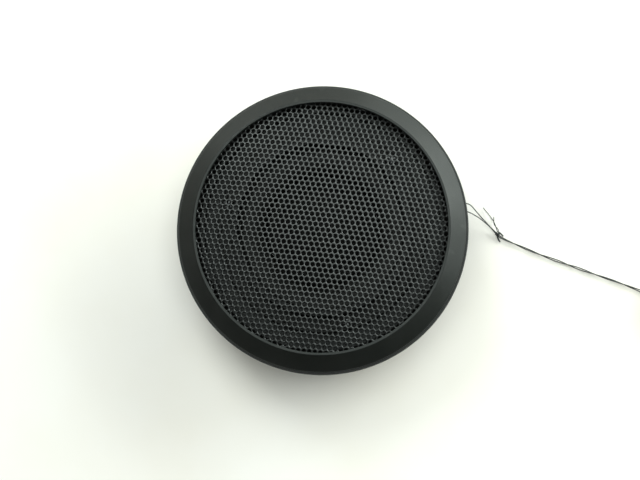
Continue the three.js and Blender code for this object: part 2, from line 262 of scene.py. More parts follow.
def smoothPath(points, perStep=6):
    # Catmull-Rom through the points, with the ends repeated
    line = [Vector(p) for p in points]
    line = [line[0] * 2 - line[1], *line, line[-1] * 2 - line[-2]]
    path = []
    for a, b, c, d in zip(line, line[1:], line[2:], line[3:]):
        for k in range(perStep):
            t = k / perStep
            square, cube = a * 2 - b * 5 + c * 4 - d, b * 3 - a - c * 3 + d
            path.append((b * 2 + (c - a) * t + square * t**2 + cube * t**3) / 2)
    path.append(line[-2])
    return path


def wire(name, path, radius, roundness=3):
    curve = bpy.data.curves.new(name, "CURVE")
    curve.dimensions = "3D"
    curve.bevel_depth = radius * mm
    curve.bevel_resolution = roundness
    curve.use_fill_caps = True
    spline = curve.splines.new("POLY")
    spline.points.add(len(path) - 1)
    for point, place in zip(spline.points, path):
        point.co = (*(Vector(place) * mm), 1)
    spline.use_smooth = True
    return show(name, curve)


def dress(piece, material, *nodes, body="housing"):
    piece.data.materials.clear()
    piece.data.materials.append(material)
    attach(piece, body)
    if nodes:
        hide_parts(*nodes)
    return piece


# shader helpers


def put(tree, kind, inputs=None, **settings):
    made = tree.nodes.new("ShaderNode" + kind)
    for key, value in settings.items():
        setattr(made, key, value)
    for socket, value in (inputs or {}).items():
        if isinstance(value, bpy.types.NodeSocket):
            tree.links.new(value, made.inputs[socket])
        else:
            made.inputs[socket].default_value = value
    return made


def maths(tree, operation, a, b=0.0, clamp=False):
    return put(tree, "Math", {0: a, 1: b}, operation=operation, use_clamp=clamp).outputs[0]


def times(tree, a, b):
    return maths(tree, "MULTIPLY", a, b)


def remap(tree, value, fromLow, fromHigh, toLow=0.0, toHigh=1.0):
    sockets = {"Value": value, "From Min": fromLow, "From Max": fromHigh, "To Min": toLow, "To Max": toHigh}
    return put(tree, "MapRange", sockets).outputs["Result"]


def noise(tree, vector, scale, detail=2.0, roughness=0.5):
    sockets = {"Vector": vector, "Scale": scale, "Detail": detail, "Roughness": roughness}
    return put(tree, "TexNoise", sockets).outputs[0]


def cellular(tree, vector, scale, feature="F1"):
    return put(tree, "TexVoronoi", {"Vector": vector, "Scale": scale}, feature=feature).outputs["Distance"]


def leaning(tree, vector, angle, stretch):
    turned = put(tree, "VectorRotate", {"Vector": vector, "Angle": angle}, rotation_type="Z_AXIS").outputs[0]
    return put(tree, "VectorMath", {0: turned, 1: stretch}, operation="MULTIPLY").outputs[0]


def mixColour(tree, factor, a, b):
    made = put(tree, "Mix", {0: factor}, data_type="RGBA")
    for index, value in ((6, a), (7, b)):
        if isinstance(value, bpy.types.NodeSocket):
            tree.links.new(value, made.inputs[index])
        else:
            made.inputs[index].default_value = (*value, 1)
    return made.outputs[2]


def makeGroup(name, values, *outputs):
    group = bpy.data.node_groups.new(name, "ShaderNodeTree")
    sockets = [("Vector", "INPUT", "Vector")]
    sockets += [(label, "INPUT", "Float") for label in values]
    sockets += [(label, "OUTPUT", "Float") for label in outputs]
    for label, way, kind in sockets:
        socket = group.interface.new_socket(name=label, in_out=way, socket_type="NodeSocket" + kind)
        if label in values:
            socket.default_value = values[label]
    start = group.nodes.new("NodeGroupInput")
    end = group.nodes.new("NodeGroupOutput")
    return group, start.outputs, end.inputs


def scaleOf(tree, size):
    # texture scale for a feature of this size in millimetres
    return maths(tree, "DIVIDE", 1 / mm, size)


def makeGrain():
    group, given, out = makeGroup("mould grain", {"Grain": 0.15, "Mottle": 9.0}, "Height", "Shade")
    scale = scaleOf(group, given["Grain"])
    pebble = cellular(group, given["Vector"], scale, "SMOOTH_F1")
    fine = noise(group, given["Vector"], times(group, scale, 2.3), 3.0, 0.6)
    group.links.new(maths(group, "ADD", pebble, fine), out["Height"])
    broad = noise(group, given["Vector"], scaleOf(group, given["Mottle"]), 4.0, 0.55)
    group.links.new(remap(group, broad, 0.3, 0.7), out["Shade"])
    return group


def makeEdgeWear():
    group, given, out = makeGroup("edge wear", {"Reach": 0.04, "Patch": 3.0}, "Mask")
    point = put(group, "NewGeometry").outputs["Pointiness"]
    # pointiness is 0.5 on a flat face and more at an outside edge
    edge = remap(group, point, 0.505, maths(group, "ADD", given["Reach"], 0.5))
    patch = noise(group, given["Vector"], scaleOf(group, given["Patch"]), 5.0, 0.7)
    group.links.new(times(group, edge, remap(group, patch, 0.35, 0.65)), out["Mask"])
    return group


def makeDust():
    # a thin film and rare specks, both only where the surface faces up
    group, given, out = makeGroup("settled dust", {"Amount": 0.3, "Speck": 0.35}, "Mask")
    normal = put(group, "SeparateXYZ", {0: put(group, "NewGeometry").outputs["Normal"]})
    upward = remap(group, normal.outputs["Z"], 0.1, 0.9)
    film = remap(group, noise(group, given["Vector"], 120.0, 5.0, 0.65), 0.42, 0.75)
    cells = cellular(group, given["Vector"], scaleOf(group, given["Speck"]))
    rare = remap(group, noise(group, given["Vector"], 900.0, 0.0), 0.6, 0.72)
    specks = times(group, remap(group, cells, 0.16, 0.08), rare)
    both = maths(group, "ADD", times(group, film, 0.35), specks, clamp=True)
    group.links.new(times(group, times(group, both, upward), given["Amount"]), out["Mask"])
    return group


def makeScuffs():
    group, given, out = makeGroup("hairline scuffs", {"Amount": 0.5, "Angle": 0.6}, "Mask")
    total = None
    for turn, scale in ((0.0, 1.0), (1.1, 0.8), (2.3, 1.3)):
        angle = maths(group, "ADD", given["Angle"], turn)
        stretched = leaning(group, given["Vector"], angle, (40 * scale, 2600 * scale, 40))
        line = remap(group, noise(group, stretched, 1.0, 1.0), 0.7, 0.78)
        total = line if total is None else maths(group, "MAXIMUM", total, line)
    group.links.new(times(group, total, given["Amount"]), out["Mask"])
    return group


def makeTurned():
    group, given, out = makeGroup("lathe rings", {"Pitch": 0.12}, "Height", "Shade")
    parts = put(group, "SeparateXYZ", {0: given["Vector"]})
    flat = put(group, "CombineXYZ", {"X": parts.outputs["X"], "Y": parts.outputs["Y"]}).outputs[0]
    radius = put(group, "VectorMath", {0: flat}, operation="LENGTH").outputs["Value"]
    rate = times(group, scaleOf(group, given["Pitch"]), 2 * math.pi)
    wave = maths(group, "SINE", times(group, radius, rate))
    line = put(group, "CombineXYZ", {"X": radius, "Z": parts.outputs["Z"]}).outputs[0]
    uneven = noise(group, line, scaleOf(group, times(group, given["Pitch"], 2.0)), 3.0, 0.7)
    group.links.new(maths(group, "ADD", times(group, wave, 0.3), uneven), out["Height"])
    group.links.new(remap(group, uneven, 0.3, 0.7), out["Shade"])
    return group


def makeWeave():
    group, given, out = makeGroup("silk weave", {"Thread": 0.25}, "Height", "Shade")
    parts = put(group, "SeparateXYZ", {0: given["Vector"]})
    rate = times(group, scaleOf(group, given["Thread"]), math.pi)
    across, along = (maths(group, "SINE", times(group, parts.outputs[axis], rate)) for axis in "XY")
    over = times(group, across, along)
    group.links.new(maths(group, "ABSOLUTE", over), out["Height"])
    group.links.new(remap(group, over, -1.0, 1.0), out["Shade"])
    return group


def makeCells():
    group, given, out = makeGroup("foam cells", {"Cell": 0.3}, "Height", "Shade")
    scale = scaleOf(group, given["Cell"])
    cells = cellular(group, given["Vector"], scale, "SMOOTH_F1")
    small = cellular(group, given["Vector"], times(group, scale, 2.7))
    height = maths(group, "ADD", cells, times(group, small, 0.4))
    group.links.new(height, out["Height"])
    group.links.new(remap(group, height, 0.2, 0.9), out["Shade"])
    return group


def makeFibres():
    group, given, out = makeGroup("loose fibres", {"Fibre": 0.08}, "Height", "Shade")
    total = None
    for turn in (0.2, 1.3, 2.5):
        bent = leaning(group, given["Vector"], turn, (0.12, 1.0, 1.0))
        strand = noise(group, bent, scaleOf(group, given["Fibre"]), 2.0, 0.6)
        total = strand if total is None else maths(group, "MAXIMUM", total, strand)
    group.links.new(total, out["Height"])
    group.links.new(remap(group, total, 0.45, 0.75), out["Shade"])
    return group


effects = {
    "grain": makeGrain(),
    "wear": makeEdgeWear(),
    "dust": makeDust(),
    "scuffs": makeScuffs(),
    "turned": makeTurned(),
    "weave": makeWeave(),
    "cells": makeCells(),
    "fibres": makeFibres(),
}
print("shader groups made:", ", ".join(effects))


# one material: a Principled shader, an effect that gives the surface its relief, and wear over it
def startMaterial(name, slotName, specular=0.5, metallic=0.0):
    material = bpy.data.materials.new(name)
    material.use_nodes = True
    material["slot"] = slotName
    tree = material.node_tree
    shader = tree.nodes["Principled BSDF"]
    shader.inputs["Metallic"].default_value = metallic
    shader.inputs["Specular IOR Level"].default_value = specular
    place = tree.nodes.new("ShaderNodeTexCoord").outputs["Object"]
    return material, tree, shader, place


def effect(tree, name, place, **values):
    made = put(tree, "Group", node_tree=effects[name])
    tree.links.new(place, made.inputs["Vector"])
    for label, value in values.items():
        made.inputs[label].default_value = value
    return made.outputs


def finish(tree, shader, colour, roughness, height, strength, depth):
    sockets = {"Height": height, "Strength": strength, "Distance": depth * mm}
    bump = put(tree, "Bump", sockets).outputs[0]
    for label, value in (("Base Color", colour), ("Roughness", roughness), ("Normal", bump)):
        tree.links.new(value, shader.inputs[label])


def plasticMaterial(name, slotName, look):
    material, tree, shader, place = startMaterial(name, slotName, look["specular"])
    grain = effect(tree, "grain", place, Grain=look["grain"], Mottle=look["mottle"])
    wear = effect(tree, "wear", place, Reach=look["wearReach"])["Mask"]
    dust = effect(tree, "dust", place, Amount=look["dust"])["Mask"]
    scuffs = effect(tree, "scuffs", place, Amount=look["scuffs"])["Mask"]
    colour = mixColour(tree, grain["Shade"], look["colour"], look["mottled"])
    colour = mixColour(tree, times(tree, wear, look["wear"]), colour, look["worn"])
    colour = mixColour(tree, scuffs, colour, look["worn"])
    colour = mixColour(tree, dust, colour, (0.42, 0.4, 0.36))
    # worn edges are smoother and dusty places rougher
    rough = remap(tree, grain["Shade"], 0.0, 1.0, look["roughness"] - 0.04, look["roughness"] + 0.05)
    rough = maths(tree, "SUBTRACT", rough, times(tree, wear, 0.15))
    rough = maths(tree, "ADD", rough, times(tree, dust, 0.3), clamp=True)
    finish(tree, shader, colour, rough, grain["Height"], look["strength"], look["depth"])
    return material


plasticLooks = {
    "bezel": {
        "colour": (0.0055, 0.0068, 0.006), "mottled": (0.0075, 0.009, 0.0082),
        "worn": (0.04, 0.043, 0.04), "roughness": 0.4, "specular": 0.27, "grain": 0.09,
        "mottle": 14.0, "strength": 0.35, "depth": 0.02, "wear": 0.35, "wearReach": 0.05,
        "dust": 0.03, "scuffs": 0.04,
    },
    "moulding": {
        "colour": (0.008, 0.0085, 0.0085), "mottled": (0.0115, 0.012, 0.012),
        "worn": (0.04, 0.04, 0.039), "roughness": 0.55, "specular": 0.38, "grain": 0.16,
        "mottle": 10.0, "strength": 0.5, "depth": 0.03, "wear": 0.5, "wearReach": 0.05,
        "dust": 0.06, "scuffs": 0.12,
    },
    "faceplate": {
        "colour": (0.004, 0.0036, 0.0032), "mottled": (0.006, 0.0056, 0.005),
        "worn": (0.02, 0.019, 0.018), "roughness": 0.45, "specular": 0.22, "grain": 0.1,
        "mottle": 8.0, "strength": 0.3, "depth": 0.02, "wear": 0.3, "wearReach": 0.06, "dust": 0.06,
        "scuffs": 0.05,
    },
    "nylon": {
        "colour": (0.56, 0.54, 0.47), "mottled": (0.63, 0.61, 0.55), "worn": (0.75, 0.74, 0.7),
        "roughness": 0.42, "specular": 0.5, "grain": 0.2, "mottle": 5.0, "strength": 0.2,
        "depth": 0.02, "wear": 0.4, "wearReach": 0.05, "dust": 0.2, "scuffs": 0.15,
    },
    "rubber": {
        "colour": (0.018, 0.018, 0.018), "mottled": (0.026, 0.026, 0.025),
        "worn": (0.06, 0.06, 0.058), "roughness": 0.72, "specular": 0.4, "grain": 0.07,
        "mottle": 4.0, "strength": 0.3, "depth": 0.02, "wear": 0.3, "wearReach": 0.08, "dust": 0.5,
        "scuffs": 0.0,
    },
    "sleeve": {
        "colour": (0.022, 0.045, 0.11), "mottled": (0.03, 0.058, 0.13), "worn": (0.12, 0.16, 0.24),
        "roughness": 0.33, "specular": 0.5, "grain": 0.25, "mottle": 5.0, "strength": 0.15,
        "depth": 0.03, "wear": 0.3, "wearReach": 0.08, "dust": 0.2, "scuffs": 0.2,
    },
    "board": {
        "colour": (0.20, 0.085, 0.03), "mottled": (0.27, 0.12, 0.045), "worn": (0.4, 0.25, 0.13),
        "roughness": 0.5, "specular": 0.5, "grain": 0.12, "mottle": 2.5, "strength": 0.3,
        "depth": 0.03, "wear": 0.6, "wearReach": 0.05, "dust": 0.3, "scuffs": 0.1,
    },
}


def grilleMaterial():
    material, tree, shader, place = startMaterial("satin grille paint", "grille_metal", 0.7)
    peel = noise(tree, place, 5200.0, 3.0, 0.6)
    uneven = remap(tree, noise(tree, place, 70.0, 4.0), 0.3, 0.7)
    dust = effect(tree, "dust", place, Amount=0.08, Speck=0.5)["Mask"]
    wear = effect(tree, "wear", place, Reach=0.12, Patch=1.2)["Mask"]
    colour = mixColour(tree, uneven, (0.006, 0.0065, 0.0066), (0.0085, 0.009, 0.0091))
    colour = mixColour(tree, times(tree, wear, 0.05), colour, (0.2, 0.2, 0.2))
    colour = mixColour(tree, dust, colour, (0.16, 0.155, 0.145))
    finish(tree, shader, colour, remap(tree, peel, 0.3, 0.7, 0.3, 0.4), peel, 0.25, 0.02)
    return material


def foamMaterial():
    material, tree, shader, place = startMaterial("closed cell foam", "foam", 0.25)
    cells = effect(tree, "cells", place, Cell=0.32)
    dust = effect(tree, "dust", place, Amount=0.1)["Mask"]
    colour = mixColour(tree, cells["Shade"], (0.007, 0.007, 0.0072), (0.02, 0.02, 0.0205))
    colour = mixColour(tree, dust, colour, (0.3, 0.29, 0.27))
    rough = remap(tree, cells["Shade"], 0.0, 1.0, 0.8, 0.98)
    finish(tree, shader, colour, rough, cells["Height"], 0.8, 0.12)
    return material


def silkMaterial():
    material, tree, shader, place = startMaterial("coated silk", "dome_silk", 0.2)
    shader.inputs["Sheen Weight"].default_value = 0.06
    weave = effect(tree, "weave", place, Thread=0.24)
    colour = mixColour(tree, weave["Shade"], (0.004, 0.0036, 0.0035), (0.009, 0.0082, 0.008))
    doped = remap(tree, noise(tree, place, 260.0, 3.0), 0.3, 0.7, 0.55, 0.75)
    finish(tree, shader, colour, doped, weave["Height"], 0.7, 0.06)
    return material


def turnedMaterial(name, slotName, look):
    material, tree, shader, place = startMaterial(name, slotName, metallic=look["metallic"])
    rings = effect(tree, "turned", place, Pitch=look["pitch"])
    wear = effect(tree, "wear", place, Reach=0.08)["Mask"]
    stain = remap(tree, noise(tree, place, 160.0, 5.0, 0.6), 0.45, 0.7)
    colour = mixColour(tree, rings["Shade"], look["colour"], look["second"])
    colour = mixColour(tree, times(tree, stain, look["stained"]), colour, look["stain"])
    colour = mixColour(tree, times(tree, wear, look["wear"]), colour, look["worn"])
    rough = remap(tree, rings["Shade"], 0.0, 1.0, *look["roughness"])
    finish(tree, shader, colour, rough, rings["Height"], look["strength"], 0.02)
    return material


turnedLooks = {
    "plated": {
        "metallic": 1.0, "pitch": 0.14, "colour": (0.55, 0.56, 0.57), "second": (0.66, 0.67, 0.68),
        "stain": (0.36, 0.37, 0.4), "stained": 0.5, "worn": (0.8, 0.8, 0.8), "wear": 0.5,
        "roughness": (0.22, 0.4), "strength": 0.35,
    },
    "screw": {
        "metallic": 0.85, "pitch": 0.1, "colour": (0.035, 0.035, 0.038),
        "second": (0.055, 0.055, 0.058), "stain": (0.02, 0.02, 0.02), "stained": 0.4,
        "worn": (0.4, 0.4, 0.4), "wear": 0.7, "roughness": (0.3, 0.42), "strength": 0.25,
    },
    "brass": {
        "metallic": 1.0, "pitch": 0.3, "colour": (0.66, 0.47, 0.19), "second": (0.75, 0.56, 0.26),
        "stain": (0.42, 0.27, 0.11), "stained": 0.6, "worn": (0.88, 0.74, 0.45), "wear": 0.5,
        "roughness": (0.24, 0.38), "strength": 0.2,
    },
    "copper": {
        "metallic": 0.9, "pitch": 0.2, "colour": (0.5, 0.17, 0.06), "second": (0.66, 0.27, 0.1),
        "stain": (0.3, 0.09, 0.03), "stained": 0.5, "worn": (0.85, 0.5, 0.3), "wear": 0.4,
        "roughness": (0.22, 0.34), "strength": 0.15,
    },
    "ferrite": {
        "metallic": 0.0, "pitch": 0.5, "colour": (0.05, 0.05, 0.055),
        "second": (0.085, 0.085, 0.09), "stain": (0.13, 0.125, 0.12), "stained": 0.4,
        "worn": (0.2, 0.2, 0.2), "wear": 0.6, "roughness": (0.55, 0.75), "strength": 0.3,
    },
}


def fibreMaterial(name, slotName, dark, light, fibre, strength):
    material, tree, shader, place = startMaterial(name, slotName, 0.25)
    fibres = effect(tree, "fibres", place, Fibre=fibre)
    blotch = remap(tree, noise(tree, place, 220.0, 3.0), 0.35, 0.65)
    tone = maths(tree, "ADD", times(tree, fibres["Shade"], 0.7), times(tree, blotch, 0.3))
    rough = remap(tree, tone, 0.0, 1.0, 0.78, 0.95)
    finish(tree, shader, mixColour(tree, tone, dark, light), rough, fibres["Height"], strength, 0.1)
    return material


def wireMaterial(name, slotName, dark, light, roughness):
    material, tree, shader, place = startMaterial(name, slotName, 0.45)
    grain = effect(tree, "grain", place, Grain=0.08, Mottle=3.0)
    dust = effect(tree, "dust", place, Amount=0.3)["Mask"]
    colour = mixColour(tree, grain["Shade"], dark, light)
    colour = mixColour(tree, dust, colour, (0.4, 0.38, 0.34))
    rough = remap(tree, grain["Shade"], 0.0, 1.0, roughness - 0.06, roughness + 0.08)
    finish(tree, shader, colour, rough, grain["Height"], 0.3, 0.02)
    return material


bezelPlastic = plasticMaterial("bezel plastic", "bezel_plastic", plasticLooks["bezel"])
mouldedPlastic = plasticMaterial("moulded plastic", "moulded_plastic", plasticLooks["moulding"])
faceplatePlastic = plasticMaterial("faceplate plastic", "driver_plastic", plasticLooks["faceplate"])
nylon = plasticMaterial("natural nylon", "connector_plastic", plasticLooks["nylon"])
rubber = plasticMaterial("grommet rubber", "rubber", plasticLooks["rubber"])
capacitorSleeve = plasticMaterial("capacitor sleeve", "capacitor_sleeve", plasticLooks["sleeve"])
phenolic = plasticMaterial("phenolic board", "terminal_board", plasticLooks["board"])
grillePaint = grilleMaterial()
foam = foamMaterial()
silk = silkMaterial()
platedSteel = turnedMaterial("plated steel", "plated_steel", turnedLooks["plated"])
screwZinc = turnedMaterial("black zinc", "black_screw", turnedLooks["screw"])
brass = turnedMaterial("stamped brass", "brass", turnedLooks["brass"])
copper = turnedMaterial("enamelled copper", "copper", turnedLooks["copper"])
ferrite = turnedMaterial("ground ferrite", "ferrite", turnedLooks["ferrite"])
felt = fibreMaterial("wool felt", "felt", (0.16, 0.145, 0.12), (0.42, 0.39, 0.34), 0.09, 0.9)
kraft = fibreMaterial("kraft board", "paper_board", (0.3, 0.19, 0.1), (0.5, 0.35, 0.2), 0.06, 0.35)
blackWire = wireMaterial("black insulation", "wire_black", (0.014, 0.014, 0.015), (0.028, 0.028, 0.03), 0.5)
redWire = wireMaterial("red insulation", "wire_red", (0.26, 0.02, 0.015), (0.38, 0.035, 0.025), 0.42)
print("materials made")


# flying lead: two fine strands that leave the grommet, twist together, and end in a two-way plug
# each stop is x, y, z and half the gap between the two strands
leadRoute = [
    (37.5, 8.0, 7.5, 0.25),
    (39.5, 8.4, 7.5, 0.45),
    (41.6, 8.7, 7.35, 0.95),
    (43.6, 8.5, 6.8, 1.15),
    (45.7, 7.2, 5.4, 0.66),
    (47.8, 5.6, 3.8, 0.25),
    (50.0, 3.75, 2.2, 0.18),
    (51.6, 2.25, 1.15, 0.18),
    (53.6, 0.35, 0.6, 0.18),
    (58.6, -2.1, 0.6, 0.18),
    (66.0, -5.3, 0.6, 0.2),
    (74.2, -8.4, 0.6, 0.32),
    (82.0, -11.3, 0.6, 0.18),
    (90.0, -14.2, 0.6, 0.18),
    (96.0, -16.6, 0.6, 0.3),
    (99.4, -17.9, 1.4, 1.4),
    (102.5, -19.1, 2.4, 2.0),
]
lead = {"strandRadius": 0.16, "twists": 3, "twistFrom": 12.5, "plugRun": 10.0}
tie = {
    "knotAt": (52.8, 1.2, 0.0),
    "knotTurn": -48.0,
    "knotTurns": 2.6,
    "knotSteps": 65,
    "knotLong": 1.3,
    "knotRadius": 0.5,
    "knotHeight": 0.72,
    "thread": 0.12,
    "endRadius": 0.24,
    "longTail": [(52.5, 2.8, 0.9), (51.9, 4.6, 0.7), (50.7, 6.6, 0.9), (48.5, 9.5, 0.4)],
    "shortTail": [(53.0, 2.5, 1.0), (51.8, 4.3, 0.5), (51.7, 6.7, 0.35)],
    "nearEnd": [(52.8, 0.4, 0.8), (53.0, -0.3, 0.5), (53.5, -1.1, 0.35)],
    "farEnd": [(53.2, 1.7, 0.9), (53.9, 1.2, 0.7), (54.5, 0.6, 0.35)],
}
plug = {
    "long": 13.0,
    "wide": 8.0,
    "tall": 5.0,
    "gap": 0.3,
    "wireInside": 1.5,
    "poles": (-2.0, 2.0),
    "poleHeight": 2.5,
    "collar": (8.2, 8.9),
    "arm": (1.4, 7.4),
    "armHalf": 1.3,
    "catch": (3.2, 5.2),
}


def lengthOf(path):
    return sum((b - a).length for a, b in zip(path, path[1:]))


def strandPath(side):
    before, last = Vector(leadRoute[-2]), Vector(leadRoute[-1])
    inward = (last - before).to_2d().normalized() * (plug["gap"] + plug["wireInside"])
    stops = smoothPath([*leadRoute, last + Vector((*inward, 0.1, 0))], 3)
    middle = [stop.to_3d() for stop in stops]
    twistTo = lengthOf(middle) - lead["plugRun"]
    gone, path = 0.0, []
    for i, here in enumerate(middle):
        if i:
            gone += (here - middle[i - 1]).length
        ahead = (middle[min(i + 1, len(middle) - 1)] - middle[max(i - 1, 0)]).normalized()
        sideways = ahead.cross(Vector((0, 0, 1))).normalized()
        upward = sideways.cross(ahead)
        # whole turns along the floor, so the strands lie side by side again at the plug
        share = (gone - lead["twistFrom"]) / (twistTo - lead["twistFrom"])
        angle = 2 * math.pi * lead["twists"] * min(max(share, 0), 1)
        offset = sideways * math.cos(angle) + upward * math.sin(angle)
        path.append(here - offset * (side * stops[i].w))
    return smoothPath(path, 4)


def makeTie(size):
    # a thread knotted round both strands, with two loose tails and two short ends
    knot = []
    for k in range(size["knotSteps"] + 1):
        share = k / size["knotSteps"]
        angle = 2 * math.pi * size["knotTurns"] * share
        fat = size["knotRadius"] + 0.12 * math.sin(5 * math.pi * share)
        along = (share - 0.5) * size["knotLong"]
        knot.append(Vector((along, fat * math.cos(angle), size["knotHeight"] + fat * math.sin(angle))))
    knot = [Matrix.Translation(size["knotAt"]) @ about(size["knotTurn"]) @ p for p in knot]
    thread, end = size["thread"], size["endRadius"]
    parts = [wire("tieKnot", knot, thread * 1.3, 2)]
    for label, start, radius, steps in (
        ("longTail", knot[0], thread, 8),
        ("shortTail", knot[-1], thread, 8),
        ("nearEnd", knot[30], end, 6),
        ("farEnd", knot[45], end, 6),
    ):
        parts.append(wire(label, smoothPath([start, *size[label]], steps), radius, 2))
    return joinAsMesh("leadTie", parts)


def joinAsMesh(name, parts):
    graph = bpy.context.evaluated_depsgraph_get()
    whole = bmesh.new()
    for part in parts:
        mesh = bpy.data.meshes.new_from_object(part.evaluated_get(graph))
        whole.from_mesh(mesh)
        bpy.data.meshes.remove(mesh)
    for part in parts:
        bpy.data.objects.remove(part)
    mesh = bpy.data.meshes.new(name)
    whole.to_mesh(mesh)
    whole.free()
    shade(mesh)
    return show(name, mesh)


def atPlug():
    before, last = Vector(leadRoute[-2]), Vector(leadRoute[-1])
    turn = math.atan2(last.y - before.y, last.x - before.x)
    return Matrix.Translation((last.x, last.y, 0)) @ Matrix.Rotation(turn, 4, "Z")


def makePlug():
    start, end = plug["gap"], plug["gap"] + plug["long"]
    half, tall, height = plug["wide"] / 2, plug["tall"], plug["poleHeight"]
    body = block("plugBody", (start, -half, 0), (end, half, tall), 0.35)
    low, high = (start + along for along in plug["collar"])
    collar = block("collar", (low, -half - 0.2, 0.0), (high, half + 0.2, tall + 0.2), 0.15)
    low, high = (start + along for along in plug["arm"])
    arm = block("arm", (low, -plug["armHalf"], tall - 0.2), (high, plug["armHalf"], tall + 0.8), 0.25)
    low, high = (start + along for along in plug["catch"])
    wedge = [(low, tall + 0.6), (high, tall + 0.6), (low, tall + 0.95)]
    verts = [(x, y, z) for y in (-1.0, 1.0) for x, z in wedge]
    faces = [(0, 1, 2), (3, 5, 4), (0, 3, 4, 1), (1, 4, 5, 2), (2, 5, 3, 0)]
    addTo(body, [collar, arm, meshPiece("catch", verts, faces)])
    cuts = []
    for y in plug["poles"]:
        cuts.append(block("cavity", (end - 5.5, y - 1.1, height - 1.1), (end + 1, y + 1.1, height + 1.1)))
        cuts.append(block("window", (start + 2.5, y - 0.7, tall - 1.4), (start + 4.5, y + 0.7, tall + 0.1)))
        entry = rod("entry", 0.55, -1.0, 3.0, sides=24)
        cuts.append(moved(entry, Matrix.Translation((start, y, height)) @ about(90, "Y")))
    cuts.append(block("groove", (start - 1, -0.25, -1), (end - 3, 0.25, 0.35)))
    cutFrom(body, cuts)
    return moved(body, atPlug())


def makeContact(name, y):
    end, height = plug["gap"] + plug["long"], plug["poleHeight"]
    blade = block(name, (end - 5.3, y - 0.6, height - 0.35), (end - 0.9, y + 0.6, height + 0.35), 0.12)
    return moved(blade, atPlug())


plugBody = dress(makePlug(), nylon, "lead_connector")
contactPlus = dress(makeContact("contactPlus", plug["poles"][0]), brass, "contact_plus")
contactMinus = dress(makeContact("contactMinus", plug["poles"][1]), brass, "contact_minus")
leadTie = dress(makeTie(tie), blackWire)
for name, side, nodes, others in (
    ("strandPlus", 1, ["flying_lead"], [plugBody, contactPlus, contactMinus, leadTie]),
    ("strandMinus", -1, [], [plugBody]),
):
    path = strandPath(side)
    strand = dress(wire(name, path, lead["strandRadius"]), blackWire, *nodes)
    print(name, "made,", round(lengthOf(path), 1), "mm long")


# bezel: a matt cone with a rounded lip, staked through the flange on six pegs
bezelSize = {
    "outer": bezelSpan["radius"],
    "lipInner": 37.4,
    "lipTop": bezelSpan["top"],
    "rebate": 39.1,
    "rebateTop": 25.6,
    "edgeTop": 22.9,
    "lipLand": 0.75,
    "stakeRing": 41.2,
    "stakeAngles": range(0, 360, 60),
    "stakeFoot": 0.75,
    "stakeHead": 1.3,
    "stakeNeck": 0.9,
    "stakeTall": 0.8,
}


def makeBezel(size):
    low = flangeTop + 0.15
    outer = size["outer"]
    corners = [
        (size["rebate"], low, 0.1),
        (outer - 0.35, low, 0.08),
        (outer, low + 0.3, 0.2),
        (outer, size["edgeTop"], 0.35),
        (size["lipInner"] + size["lipLand"], size["lipTop"], 0.3),
        (size["lipInner"], size["lipTop"], 0.2),
        (size["lipInner"], size["rebateTop"], 0.1),
        (size["rebate"], size["rebateTop"]),
    ]
    body = spin("bezel", corners, 288, steps=6)
    head, neck = bezelSpan["bottom"], size["stakeNeck"]
    peg = [
        (0, head),
        (size["stakeFoot"], head),
        (size["stakeHead"], head + 0.35, 0.2),
        (size["stakeHead"], head + size["stakeTall"], 0.1),
        (neck, head + size["stakeTall"]),
        (neck, low + 0.5),
        (0, low + 0.5),
    ]
    stakes = []
    for angle in size["stakeAngles"]:
        stake = spin("stake", peg, 24, closed=False, steps=3)
        stakes.append(moved(stake, Matrix.Translation(polar(size["stakeRing"], angle))))
    return addTo(body, stakes)


dress(makeBezel(bezelSize), bezelPlastic, "bezel_ring")
print("bezel made")


# grille: a domed steel disc, perforated by rows of round holes in a slightly leaning hexagonal pattern
grilleSize = {
    "rim": grilleSpan["radius"],
    "domeRadius": 37.6,
    "rimTop": 25.3,
    "apex": grilleSpan["top"],
    "thick": 0.6,
    "rowStep": 1.632,
    "rowTurn": -6.0,
    "columnStep": 1.626,
    "columnTurn": -72.0,
    "holeRadius": 0.61,
    "edge": 0.18,
    "perforatedTo": 37.9,
    "rimSides": 240,
}


def domeHeight(size, x, y):
    rise = size["apex"] - size["rimTop"]
    curve = (size["domeRadius"] ** 2 + rise**2) / (2 * rise)
    flat = min(math.hypot(x, y), size["domeRadius"])
    return size["apex"] - curve + math.sqrt(curve**2 - flat**2)


def hexCorners(a, b):
    # the cell round a lattice point, from the middles of the lines to its six neighbours
    steps = [a, a - b, -b, -a, b - a, b]
    steps.sort(key=lambda v: math.atan2(v.y, v.x))
    corners = []
    for first, second in zip(steps, steps[1:] + steps[:1]):
        det = first.x * second.y - first.y * second.x
        p, q = first.length_squared / 2, second.length_squared / 2
        corner = Vector(((p * second.y - q * first.y) / det, (q * first.x - p * second.x) / det))
        corners += [first / 2, corner]
    return corners


def bandOf(points, border, rimStart, a, b, perforatedTo):
    chosen = sorted({v for edge in border for v in edge}) + list(range(rimStart, len(points)))
    place = {v: i for i, v in enumerate(chosen)}
    edges = [(place[u], place[v]) for u, v in border]
    filled = delaunay_2d_cdt([points[v] for v in chosen], edges, [], 0, 1e-5)
    toLattice = Matrix(((a.x, b.x), (a.y, b.y))).inverted()
    band = []
    for face in filled[2]:
        loop = [chosen[filled[3][i][0]] for i in face]
        middle = sum((points[v] for v in loop), Vector((0, 0))) / 3
        i, j = (round(step) for step in toLattice @ middle)
        around = [a * (i + m) + b * (j + n) for m in (-1, 0, 1) for n in (-1, 0, 1)]
        nearest = min(around, key=lambda centre: (centre - middle).length)
        if nearest.length >= perforatedTo:
            band.append(loop)
    return band


